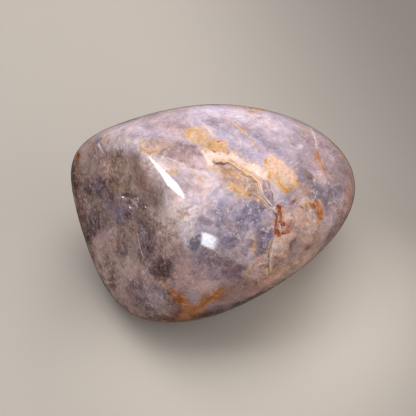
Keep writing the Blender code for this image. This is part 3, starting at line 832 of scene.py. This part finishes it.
def besideVein(draw):
    path = draw.choice(hiddenVeins["paths"])
    leg = draw.randrange(len(path) - 1)
    share = draw.random()
    return tuple(start + (end - start) * share + draw.gauss(0, hiddenVeins["strays"])
                 for start, end in zip(path[leg], path[leg + 1]))


def addHiddenMarks(tracer):
    draw = random.Random(hiddenMarks["seed"])
    for name, group in marks.items():
        if name in hiddenMarks:
            count, smallest, largest, edge, full = hiddenMarks[name]
            group["roundSpots"] = []
            for number in range(count):
                long = draw.uniform(smallest, largest)
                size = (long, long * draw.uniform(0.35, 0.9))
                spot = hiddenBearing(draw, tracer)
                if name in hiddenVeins["kinds"]:
                    spot = besideVein(draw)
                turn, strength = draw.uniform(0, 180), full * draw.uniform(0.8, 1)
                group["roundSpots"].append((spot, size, turn, edge, strength))
    lines = {}
    for name in fineLines:
        lines[name] = []
        for number in range(hiddenLines[name]):
            azimuth, elevation = hiddenBearing(draw, tracer)
            heading = draw.uniform(0, 360)
            points = [(azimuth, elevation)]
            for step in range(hiddenLines["steps"]):
                heading += draw.uniform(-1, 1) * hiddenLines["wander"]
                azimuth += hiddenLines["step"] * math.cos(math.radians(heading))
                elevation += hiddenLines["step"] * math.sin(math.radians(heading))
                elevation = max(-hiddenLines["highest"], min(hiddenLines["highest"], elevation))
                points.append((azimuth, elevation))
            lines[name].append((points, draw.uniform(0.1, 0.25), draw.uniform(0.5, 1)))
    lines["darkLines"] += [(points, 0.25, 1) for points, halfWidth, depth in relief["roundCracks"]]
    washesBehind = [(name, hiddenBearing(draw, tracer), (draw.uniform(5, 13), draw.uniform(4, 9)),
                     draw.uniform(0, 180), draw.uniform(0.5, 0.9)) for name in hiddenWashes]
    return lines, washesBehind


def drawLines(fields, linesBehind):
    # at every corner: how many half widths it lies beside a line, and how strong the line is there
    fade = (1.2, 2.2)  # mm: a line's numbers are dropped between these distances from it
    ends = 1.5  # mm over which a line fades in at its ends
    for name, drawn in fineLines.items():
        lateral = np.full(fields.count(), 20.0)  # so many half widths off that nothing shows
        strength = np.zeros(fields.count())
        closest = np.full(fields.count(), stoneSkin["farOff"])
        for seen, items in ((True, drawn), (False, linesBehind[name])):
            for points, halfWidth, full in items:
                line = fields.tracer.curve(points, seen)[0]
                near, distance, side, along, length = fields.alongCurve(line, fade[1])
                taper = np.clip(np.minimum(along, length - along) / ends, 0, 1)
                taper *= np.clip((fade[1] - distance) / (fade[1] - fade[0]), 0, 1)
                better = (distance < closest[near]) & (taper > 0)
                rows = near[better]
                closest[rows] = distance[better]
                lateral[rows] = side[better] / halfWidth
                strength[rows] = (taper * full)[better]
        fields.keep(name, np.stack((lateral, strength, np.zeros_like(lateral)), 1))


def paintMarks(fields):
    levels = {}
    for name, group in marks.items():
        level = np.zeros(fields.count())
        for kind, items in group.items():
            for *where, edge, full in items:
                if kind == "areas":
                    depth = fields.depthInArea(*where)
                elif kind == "bands":
                    depth = fields.depthInBand(*where)
                else:
                    depth = fields.depthInSpot(*where, kind == "spots")
                level = np.maximum(level, full * np.clip(0.5 + depth / (2 * edge), 0, 1))
        levels[name] = level
        fields.keep(name, level)
    print("marks painted:", len(levels), "kinds")
    return levels


def linear(colour):
    # from a picture's tones, 0 to 255 and more, to the strengths that a shader takes
    return [(c / 255 / 12.92 if c < 10 else ((c / 255 + 0.055) / 1.055) ** 2.4) for c in colour]


# a wash starts beyond its oval and is full before its middle, both as shares of its half size
washFade = {"beyond": 0.45, "over": 0.95, "soft": 1.5}


def wash(fields, rock, items, seen):
    for name, spot, size, turn, strength in items:
        inside = fields.depthInSpot(spot, size, turn, seen) / min(size)  # 1 in the middle, 0 on the oval
        share = np.clip((inside + washFade["beyond"]) / washFade["over"], 0, 1)
        share = strength * share ** washFade["soft"]
        rock += (np.array(linear(palette[name])) - rock) * share[:, None]


def paintRock(fields, levels, washesBehind):
    rosy, sawn = np.array(linear(palette["rosyGrey"])), np.array(linear(palette["sawnBrown"]))
    rock = rosy + (sawn - rosy) * np.clip(levels["sawn"], 0, 1)[:, None]
    wash(fields, rock, washesBehind, False)
    wash(fields, rock, washes, True)
    rock = np.column_stack((rock, np.ones(len(rock)))).astype(np.float32)
    fields.skin.data.attributes.new("rock", "FLOAT_COLOR", "POINT").data.foreach_set("color", rock.ravel())
    print("rock tinted")


# the grain of the stone runs in curved shells round an axis that points at the photograph's eye:
# where it stands, and how many mm a full radian of turn counts for
grainAxis = {"pixel": (155, 215), "perTurn": 45}


def layGrain(fields):
    axis = fields.tracer
    gap = fields.places - np.array(axis.atPixel(*grainAxis["pixel"])) / mm
    x, y, z = gap @ np.array(axis.right), gap @ np.array(axis.up), gap @ np.array(axis.back)
    layer = np.hypot(x, y)
    turn = np.arctan2(-x, y)  # the seam of the turn lies downwards, under the sawn face
    fields.keep("grain", np.stack((layer, turn * grainAxis["perTurn"], z), 1))


def addNode(tree, kind, inputs=None, **settings):
    node = tree.nodes.new("ShaderNode" + kind)
    for name, value in settings.items():
        setattr(node, name, value)
    for name, value in (inputs or {}).items():
        if isinstance(value, bpy.types.NodeSocket):
            tree.links.new(value, node.inputs[name])
        else:
            node.inputs[name].default_value = value
    return node


def calc(tree, operation, first, second=0.0, clamp=False):
    return addNode(tree, "Math", {0: first, 1: second}, operation=operation, use_clamp=clamp).outputs[0]


def ramp(tree, value, low, high, start=0.0, end=1.0):
    node = addNode(tree, "MapRange", {"Value": value, "From Min": low, "From Max": high, "To Min": start,
                                      "To Max": end}, interpolation_type="SMOOTHSTEP")
    return node.outputs["Result"]


def clouds(tree, place, size, detail=4.0, roughness=0.6, swirl=0.0):
    # noise with features of a size in mm
    return addNode(tree, "TexNoise", {"Vector": place, "Scale": 1 / (size * mm), "Detail": detail,
                                      "Roughness": roughness, "Distortion": swirl}).outputs["Fac"]


def mixColours(tree, below, share, above, how="MIX"):
    node = addNode(tree, "Mix", {"Factor": share}, data_type="RGBA", blend_type=how)
    sockets = [socket for socket in node.inputs if socket.type == "RGBA"]
    for socket, value in zip(sockets, (below, above)):
        if isinstance(value, bpy.types.NodeSocket):
            tree.links.new(value, socket)
        else:
            socket.default_value = (*value, 1)
    return [socket for socket in node.outputs if socket.type == "RGBA"][0]


def layOver(tree, below, share, tone, how="MIX"):
    # the same with a picture's tones, 0 to 255
    pair = [value if isinstance(value, bpy.types.NodeSocket) else linear(value) for value in (below, tone)]
    return mixColours(tree, pair[0], share, pair[1], how)


def attributeOf(tree, name, output="Fac"):
    return addNode(tree, "Attribute", attribute_name=name).outputs[output]


def raggedMaskGroup():
    # turns a mark's level into a mask with an uneven edge, and tells how deep inside the mark it is
    group = bpy.data.node_groups.new("raggedMask", "ShaderNodeTree")
    group.interface.new_socket("Place", in_out="INPUT", socket_type="NodeSocketVector")
    for name in ("Level", "Scale", "Ragged", "Softness"):
        group.interface.new_socket(name, in_out="INPUT", socket_type="NodeSocketFloat")
    for name in ("Mask", "Depth"):
        group.interface.new_socket(name, in_out="OUTPUT", socket_type="NodeSocketFloat")
    given = group.nodes.new("NodeGroupInput").outputs
    noiseNode = addNode(group, "TexNoise", {"Vector": given["Place"], "Scale": given["Scale"], "Detail": 6.0,
                                            "Roughness": 0.7, "Distortion": 0.3})
    unevenness = calc(group, "SUBTRACT", noiseNode.outputs["Fac"], 0.5)
    unevenness = calc(group, "MULTIPLY", unevenness, given["Ragged"])
    held = calc(group, "MULTIPLY", given["Level"], 8.0, clamp=True)  # nothing shows where there is no mark
    level = calc(group, "ADD", given["Level"], calc(group, "MULTIPLY", unevenness, held))
    low = calc(group, "SUBTRACT", 0.5, given["Softness"])
    high = calc(group, "ADD", 0.5, given["Softness"])
    result = group.nodes.new("NodeGroupOutput")
    group.links.new(ramp(group, level, low, high), result.inputs["Mask"])
    group.links.new(level, result.inputs["Depth"])
    return group


# light and dark, warm and cool quartz through one another at every scale: size and shift of the
# pattern in mm, how far the noise swings from the middle to the full tone, and what the colour below
# is multiplied by in the lightest and darkest parts (255 leaves it as it is)
cloudLooks = [
    {"size": 7, "shift": (0, 0, 30), "roughness": 0.62, "swing": 0.12, "light": (266, 250, 236),
     "dark": (236, 243, 262), "share": 0.56, "more": {"grainy": 0.3, "sawn": -0.34}},
    {"size": 9, "shift": (0, 30, 0), "roughness": 0.74, "swing": 0.1, "light": (314, 309, 313),
     "dark": (162, 149, 152), "share": 0.34, "more": {"sawn": 0.3, "grainy": 0.14}},
    {"size": 2.8, "shift": (30, 0, 0), "roughness": 0.74, "swing": 0.14, "light": (312, 306, 306),
     "dark": (164, 148, 150), "share": 0.1, "more": {"sawn": 0.4, "grainy": 0.3, "crackled": 0.2}},
]
# the finer textures come and go in patches of this size: weakest, strongest
patchLook = {"size": 11, "shift": (60, 30, 0), "span": (0.42, 0.58), "weakest": 0.35, "strongest": 1.3}
# angular blocks of a greyer tone between the wisps of the front
blockLook = {"size": 3.2, "shift": (-30, 0, 0), "span": (0.535, 0.575), "tone": (216, 216, 230),
             "share": 0.7}
streakLook = {"scale": (1.1, 0.12, 0.25), "light": (263, 261, 263), "dark": (241, 236, 241), "swing": 0.14}
# wisps: pale threads where the stone healed, thickest on the blue-grey front
wispLooks = [
    {"size": 5, "shift": 55, "width": 0.022, "share": 0.35, "crackled": 0.45, "sawn": 0.2},
    {"size": 2.6, "shift": 80, "width": 0.02, "share": 0.15, "crackled": 0.3, "sawn": 0.2},
]
wispTone = (226, 210, 212)
grainLook = {"size": 0.8, "light": (302, 296, 296), "dark": (184, 170, 170), "swing": 0.18, "share": 0.4,
             "onSawn": 0.5}
# how each kind of mark looks: tone at its fringe and in its middle, size of its unevenness in mm,
# raggedness, softness and cover
markLooks = {
    "honey": {"tones": ((199, 170, 150), (203, 166, 128)), "size": 3.5, "ragged": 1.8,
        "soft": 0.5, "cover": 0.8},
    "smokeAndEdgeShade": {"tones": ((122, 98, 102), (92, 70, 74)), "size": 3.0, "ragged": 1.2,
        "soft": 0.45, "cover": 0.88},
    "slate": {"tones": ((142, 134, 152), (116, 108, 128)), "size": 2.8, "ragged": 1.2,
        "soft": 0.38, "cover": 0.82},
    "tan": {"tones": ((176, 142, 122), (150, 114, 92)), "size": 2.0, "ragged": 1.6,
        "soft": 0.45, "cover": 0.85},
    "milkAndGlints": {"tones": ((204, 188, 198), (232, 218, 224)), "size": 2.0, "ragged": 1.6,
        "soft": 0.4, "cover": 0.75},
    "cream": {"tones": ((216, 180, 158), (232, 206, 192)), "size": 1.6, "ragged": 1.4,
        "soft": 0.4, "cover": 0.9},
    "amberAndEdgeShade": {"tones": ((196, 138, 86), (168, 96, 40)), "size": 1.8, "ragged": 1.6,
        "soft": 0.45, "cover": 0.92},
    "gold": {"tones": ((204, 167, 118), (200, 142, 64)), "size": 1.5, "ragged": 1.8,
        "soft": 0.45, "cover": 0.9},
    "rust": {"tones": ((176, 94, 44), (108, 46, 22)), "size": 1.2, "ragged": 1.5,
        "soft": 0.35, "cover": 0.95},
}
# how each kind of fine line looks: tone, how far it wanders in half widths, and cover
lineLooks = {
    "goldLines": {"tone": (232, 188, 130), "wander": 4.8, "cover": 0.85},
    "rustLines": {"tone": (164, 92, 44), "wander": 4.8, "cover": 0.85},
    "darkLines": {"tone": (92, 58, 44), "wander": 3.6, "cover": 0.95},
    "whiteLines": {"tone": (240, 224, 208), "wander": 4.0, "cover": 0.9},
}
bends = ((4, 3.0), (1.2, 0.7))  # mm: the patterns are bent at this scale by this much
polish = {"roughness": (0.1, 0.5), "wavesSize": 0.8, "waves": 0.012, "lightBending": 1.54}


def within(tree, first, second):
    return calc(tree, "MULTIPLY", first, second)


def moved(tree, place, *shift):
    # the same pattern somewhere else: the place shifted by so many mm
    shift = [along * mm for along in shift]
    return addNode(tree, "VectorMath", {0: place, 1: shift}, operation="ADD").outputs[0]


def bentPlace(tree, place):
    bent = place
    for size, shift in bends:
        drift = addNode(tree, "TexNoise", {"Vector": place, "Scale": 1 / (size * mm), "Detail": 3.0})
        drift = addNode(tree, "VectorMath", {0: drift.outputs["Color"], 1: (0.5, 0.5, 0.5)},
                        operation="SUBTRACT")
        drift = addNode(tree, "VectorMath", {0: drift.outputs[0], "Scale": shift * mm}, operation="SCALE")
        bent = addNode(tree, "VectorMath", {0: bent, 1: drift.outputs[0]}, operation="ADD").outputs[0]
    return bent


def lighterAndDarker(tree, colour, pattern, share, look):
    # the pattern's high parts take the look's light tone and its low parts the dark one
    for tone, swing in (("light", look["swing"]), ("dark", -look["swing"])):
        reach = within(tree, ramp(tree, pattern, 0.5, 0.5 + swing), share)
        colour = layOver(tree, colour, reach, look[tone], "MULTIPLY")
    return colour


def layMarks(tree, colour, bent):
    # the marks drawn on the stone
    mask = raggedMaskGroup()
    for name, look in markLooks.items():
        node = tree.nodes.new("ShaderNodeGroup")
        node.node_tree = mask
        node.inputs["Scale"].default_value = 1 / (look["size"] * mm)
        node.inputs["Ragged"].default_value = look["ragged"]
        node.inputs["Softness"].default_value = look["soft"]
        tree.links.new(attributeOf(tree, name), node.inputs["Level"])
        tree.links.new(bent, node.inputs["Place"])
        fringe, middle = look["tones"]
        tone = layOver(tree, fringe, ramp(tree, node.outputs["Depth"], 0.5, 1.1), middle)
        colour = layOver(tree, colour, within(tree, node.outputs["Mask"], look["cover"]), tone)
    return colour


def layClouds(tree, colour, bent, regions, patches):
    for look in cloudLooks:
        cloud = clouds(tree, moved(tree, bent, *look["shift"]), look["size"], 7, look["roughness"])
        share = look["share"]
        for name, more in look["more"].items():
            share = calc(tree, "ADD", within(tree, regions[name], more), share)
        if look is cloudLooks[-1]:  # the finest clouds come and go in patches
            share = within(tree, share, patches)
        colour = lighterAndDarker(tree, colour, cloud, share, look)
    block = clouds(tree, moved(tree, bent, *blockLook["shift"]), blockLook["size"], 4, 0.6)
    block = within(tree, ramp(tree, block, *blockLook["span"]), regions["crackled"])
    return layOver(tree, colour, within(tree, block, blockLook["share"]), blockLook["tone"], "MULTIPLY")


def layStreaks(tree, colour, regions):
    # silky streaks along the grain, weaker on the honey-coloured stains
    stretched = addNode(tree, "Mapping", {"Vector": attributeOf(tree, "grain", "Vector"),
                                          "Scale": streakLook["scale"]}).outputs[0]
    streaks = addNode(tree, "TexNoise", {"Vector": stretched, "Scale": 1.0, "Detail": 6.0,
                                         "Roughness": 0.7, "Distortion": 0.6}).outputs["Fac"]
    honey = ramp(tree, attributeOf(tree, "honey"), 0.2, 0.7, 1, 0.35)
    return lighterAndDarker(tree, colour, streaks, within(tree, regions["streaky"], honey), streakLook)


def layWisps(tree, colour, bent, regions):
    for look in wispLooks:
        shift = look["shift"]
        wave = clouds(tree, moved(tree, bent, shift, shift, 0), look["size"], 5, 0.6)
        thread = calc(tree, "ABSOLUTE", calc(tree, "SUBTRACT", wave, 0.5))
        thread = ramp(tree, thread, look["width"], 0.0)
        broken = ramp(tree, clouds(tree, moved(tree, bent, 0, shift, shift), 3, 3, 0.6), 0.4, 0.56)
        share = look["share"]
        for name in ("crackled", "sawn"):
            share = calc(tree, "ADD", within(tree, regions[name], look[name]), share)
        share = within(tree, within(tree, thread, broken), share)
        colour = layOver(tree, colour, share, wispTone)
    return colour


def layFineLines(tree, colour, place):
    # they wobble and thin out along their way
    wobble = calc(tree, "SUBTRACT", clouds(tree, place, 1.2, 4, 0.6), 0.5)
    thin = clouds(tree, place, 2.2, 3, 0.6)
    for name, look in lineLooks.items():
        parts = addNode(tree, "SeparateXYZ", {"Vector": attributeOf(tree, name, "Vector")}).outputs
        lateral = calc(tree, "ADD", parts["X"], within(tree, wobble, look["wander"]))
        lateral = calc(tree, "ABSOLUTE", lateral)
        line = within(tree, ramp(tree, lateral, 1.5, 0.5), parts["Y"])
        line = within(tree, line, ramp(tree, thin, 0.3, 0.5, 0.35, look["cover"]))
        colour = layOver(tree, colour, line, look["tone"])
    return colour


def layFineGrain(tree, colour, place, regions, patches):
    fine = clouds(tree, place, grainLook["size"], 4, 0.75)
    share = calc(tree, "ADD", within(tree, regions["sawn"], grainLook["onSawn"]), grainLook["share"])
    return lighterAndDarker(tree, colour, fine, within(tree, share, patches), grainLook)


def quartzMaterial():
    material = plainMaterial("mottledQuartz", linear(palette["rosyGrey"]), polish["roughness"][0])
    tree = material.node_tree
    shader = tree.nodes["Principled BSDF"]
    place = addNode(tree, "TexCoord").outputs["Object"]
    bent = bentPlace(tree, place)
    regions = {name: attributeOf(tree, name) for name in ("crackled", "streaky", "grainy", "sawn")}
    patches = clouds(tree, moved(tree, bent, *patchLook["shift"]), patchLook["size"], 3, 0.6)
    patches = ramp(tree, patches, *patchLook["span"], patchLook["weakest"], patchLook["strongest"])

    colour = layMarks(tree, attributeOf(tree, "rock", "Color"), bent)
    colour = layClouds(tree, colour, bent, regions, patches)
    colour = layStreaks(tree, colour, regions)
    colour = layWisps(tree, colour, bent, regions)
    colour = layFineLines(tree, colour, place)
    colour = layFineGrain(tree, colour, place, regions, patches)
    tree.links.new(colour, shader.inputs["Base Color"])

    rough = ramp(tree, attributeOf(tree, "rough"), 0, 1, *polish["roughness"])
    tree.links.new(rough, shader.inputs["Roughness"])
    waves = clouds(tree, place, polish["wavesSize"], 4, 0.6)
    bump = addNode(tree, "Bump", {"Height": waves, "Strength": polish["waves"], "Distance": mm})
    tree.links.new(bump.outputs["Normal"], shader.inputs["Normal"])
    shader.inputs["IOR"].default_value = polish["lightBending"]
    print("quartz material built")
    return material


studio = {
    "floorSize": 6,
    # the paper carries a painted pool of light before the stone, which also lightens the stone's shadow, and
    # painted shade that darkens it softly to the right
    "floorNear": (0.385, 0.353, 0.321), "floorPaintedShade": (0.172, 0.154, 0.143), "paintedLightPool": (0.68, 0.633, 0.568),
    "fade": (0.0, 0.125), "fadeTurn": 5, "lightPool": (0.008, -0.032), "lightPoolSize": (0.078, 0.055),
    "world": (1.0, 0.82, 0.72), "worldStrength": 0.08,
}
# bearing and distance from the stone's middle, size in m, and what each lamp does: light the scene
# softly, or only show in the polish
lamps = {
    "wideCeiling": {"azimuth": 0, "elevation": 90, "distance": 1.0, "size": (3.0, 3.0), "roll": 0,
                    "watts": 11.2, "colour": (1.0, 0.98, 0.96), "lights": True, "mirrored": False},
    "softKey": {"azimuth": 76, "elevation": 68, "distance": 1.1, "size": (1.3, 1.3), "roll": 0,
                "watts": 17.0, "colour": (1.0, 0.98, 0.96), "lights": True, "mirrored": False},
    "fillFromRight": {"azimuth": -45, "elevation": 22, "distance": 1.0, "size": (1.0, 0.8), "roll": 0,
                      "watts": 4.6, "colour": (1.0, 0.98, 0.96), "lights": True, "mirrored": False},
    "tallSoftboxLeft": {"azimuth": 173, "elevation": 46, "distance": 0.9, "size": (0.26, 0.72), "roll": -22,
                        "watts": 13.0, "colour": (0.97, 0.98, 1.0), "lights": False, "mirrored": True},
    "windowInFront": {"azimuth": -112, "elevation": 11, "distance": 0.8, "size": (0.175, 0.25), "roll": -20,
                      "watts": 2.2, "colour": (0.86, 0.94, 1.0), "lights": False, "mirrored": True},
}


def floorPaper():
    material = plainMaterial("floorPaper", studio["floorNear"], 0.8)
    tree = material.node_tree
    place = addNode(tree, "TexCoord").outputs["Object"]
    turn = (0, 0, math.radians(studio["fadeTurn"]))
    turned = addNode(tree, "Mapping", {"Vector": place, "Rotation": turn})
    across = addNode(tree, "SeparateXYZ", {"Vector": turned.outputs[0]}).outputs["X"]
    # painted shade darkening the paper to the right, and a painted pool of light before the stone
    paintedShadeShare = ramp(tree, across, *studio["fade"])
    lightPool = addNode(tree, "Mapping", {"Vector": place, "Location": (*studio["lightPool"], 0),
                                     "Scale": (*studio["lightPoolSize"], 1)}, vector_type="TEXTURE")
    lightPool = addNode(tree, "TexGradient", {"Vector": lightPool.outputs[0]}, gradient_type="SPHERICAL")
    colour = mixColours(tree, studio["floorNear"], paintedShadeShare, studio["floorPaintedShade"])
    colour = mixColours(tree, colour, ramp(tree, lightPool.outputs["Fac"], 0, 1), studio["paintedLightPool"])
    tree.links.new(colour, tree.nodes["Principled BSDF"].inputs["Base Color"])
    return material


def buildStudio():
    scene = bpy.context.scene
    deselectAll()
    bpy.ops.mesh.primitive_plane_add(size=studio["floorSize"], location=(0, 0, 0))
    floor = bpy.context.object
    floor.name = "floor"
    floor.data.materials.append(floorPaper())
    floor.visible_glossy = False  # the polished sides mirror a darker room, as in the photograph
    world = bpy.data.worlds.new("softRoom")
    world.use_nodes = True
    background = world.node_tree.nodes["Background"]
    background.inputs["Color"].default_value = (*studio["world"], 1)
    background.inputs["Strength"].default_value = studio["worldStrength"]
    scene.world = world
    scene.view_settings.view_transform = "Standard"
    middle = Vector(stoneSkin["middle"])
    for name, lamp in lamps.items():
        away = outwards(lamp["azimuth"], lamp["elevation"])
        data = bpy.data.lights.new(name, "AREA")
        data.shape = "RECTANGLE"
        data.size, data.size_y = lamp["size"]
        data.energy = lamp["watts"]
        data.color = lamp["colour"]
        light = bpy.data.objects.new(name, data)
        light.location = middle + away * lamp["distance"]
        light.rotation_mode = "QUATERNION"
        roll = Quaternion((0, 0, 1), math.radians(lamp["roll"]))
        light.rotation_quaternion = away.to_track_quat("Z", "Y") @ roll
        light.visible_diffuse = lamp["lights"]
        light.visible_glossy = lamp["mirrored"]
        scene.collection.objects.link(light)
    print("studio built")


# the outlines of marks and washes waver in waves of these sizes, by these amounts, in mm
unevenOutlines = ((6, 1.3), (2.5, 0.9), (1.1, 0.4))

placeCamera()
skin = makeSkin()
tracer = StoneTracer(skin)
linesBehind, washesBehind = addHiddenMarks(tracer)
refineMesh(skin, tracer)
fields = StoneFields(skin, tracer)
layGrain(fields)
drawLines(fields, linesBehind)
carveRelief(skin, fields)
fields.roughen(unevenOutlines)
paintRock(fields, paintMarks(fields), washesBehind)
skin.data.materials.append(quartzMaterial())
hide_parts("quartz_stone")
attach(skin, "root")
buildStudio()
